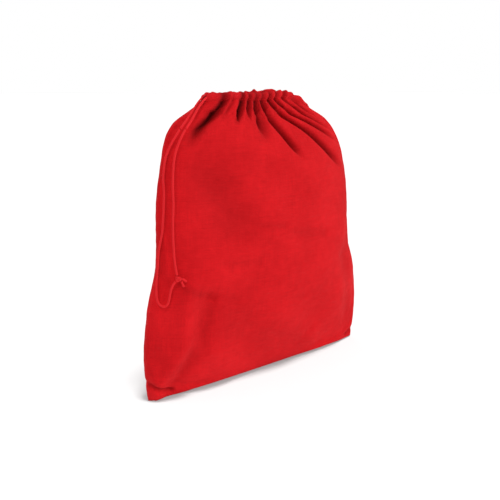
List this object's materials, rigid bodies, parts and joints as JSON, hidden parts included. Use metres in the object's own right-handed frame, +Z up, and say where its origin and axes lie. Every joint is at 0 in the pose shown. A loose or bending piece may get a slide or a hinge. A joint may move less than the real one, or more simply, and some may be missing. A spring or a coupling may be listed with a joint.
{
  "type": "fabric gift sack",
  "caption": "Cotton drawstring gift sack standing filled: flat sewn panels, gathered hemmed mouth, cord looping out at the side and tied in a knot.",
  "frame": {"origin": "centre of the sack's box, at the floor that the sack stands on", "axes": "+Z up to the mouth, -Y the front panel, -X the side where the cord leaves"},
  "size_m": [0.388, 0.0869, 0.395],
  "materials": {
    "cotton": "matte plain weave",
    "cotton_hem": "matte plain weave",
    "cotton_seam": "matte plain weave",
    "thread": "soft sheen",
    "cord": "soft sheen twist"
  },
  "bodies": {
    "sack": {"front_panel": "cotton", "front_casing": "cotton_hem", "front_casing_stitching": "thread", "left_side_seam": "cotton_seam", "right_side_seam": "cotton_seam", "bottom_seam": "cotton_seam", "slit_bartack": "thread", "cord_front_run": "cord", "cord_front_shoulder": "cord", "cord_back_shoulder": "cord"},
    "mouth_back": {"back_panel": "cotton", "back_casing": "cotton_hem", "back_casing_stitching": "thread", "cord_back_run": "cord"},
    "cord_hang": {"cord_front_strand": "cord", "cord_back_strand": "cord"},
    "cord_end": {"cord_loop_end": "cord", "cord_knot": "cord", "cord_front_tail": "cord", "cord_back_tail": "cord"}
  },
  "joints": [
    {"name": "mouth_open", "type": "hinge", "parent": "sack", "child": "mouth_back", "pos_m": [0, 0.036, 0], "axis": [-1, 0, 0], "range_deg": [0, 8]},
    {"name": "cord_swing", "type": "hinge", "parent": "sack", "child": "cord_hang", "pos_m": [-0.128, -0.0025, 0.35], "axis": [-0.6, 0.8, 0], "range_deg": [0, 70]},
    {"name": "cord_draw", "type": "slide", "parent": "cord_hang", "child": "cord_end", "axis": [0, 0, 1], "range_m": [0, 0.05], "deforming": ["cord_front_strand", "cord_back_strand"]}
  ],
  "couplings": [
    {"joint": "cord_draw", "follows": "mouth_open", "m_per_rad": 0.358}
  ]
}
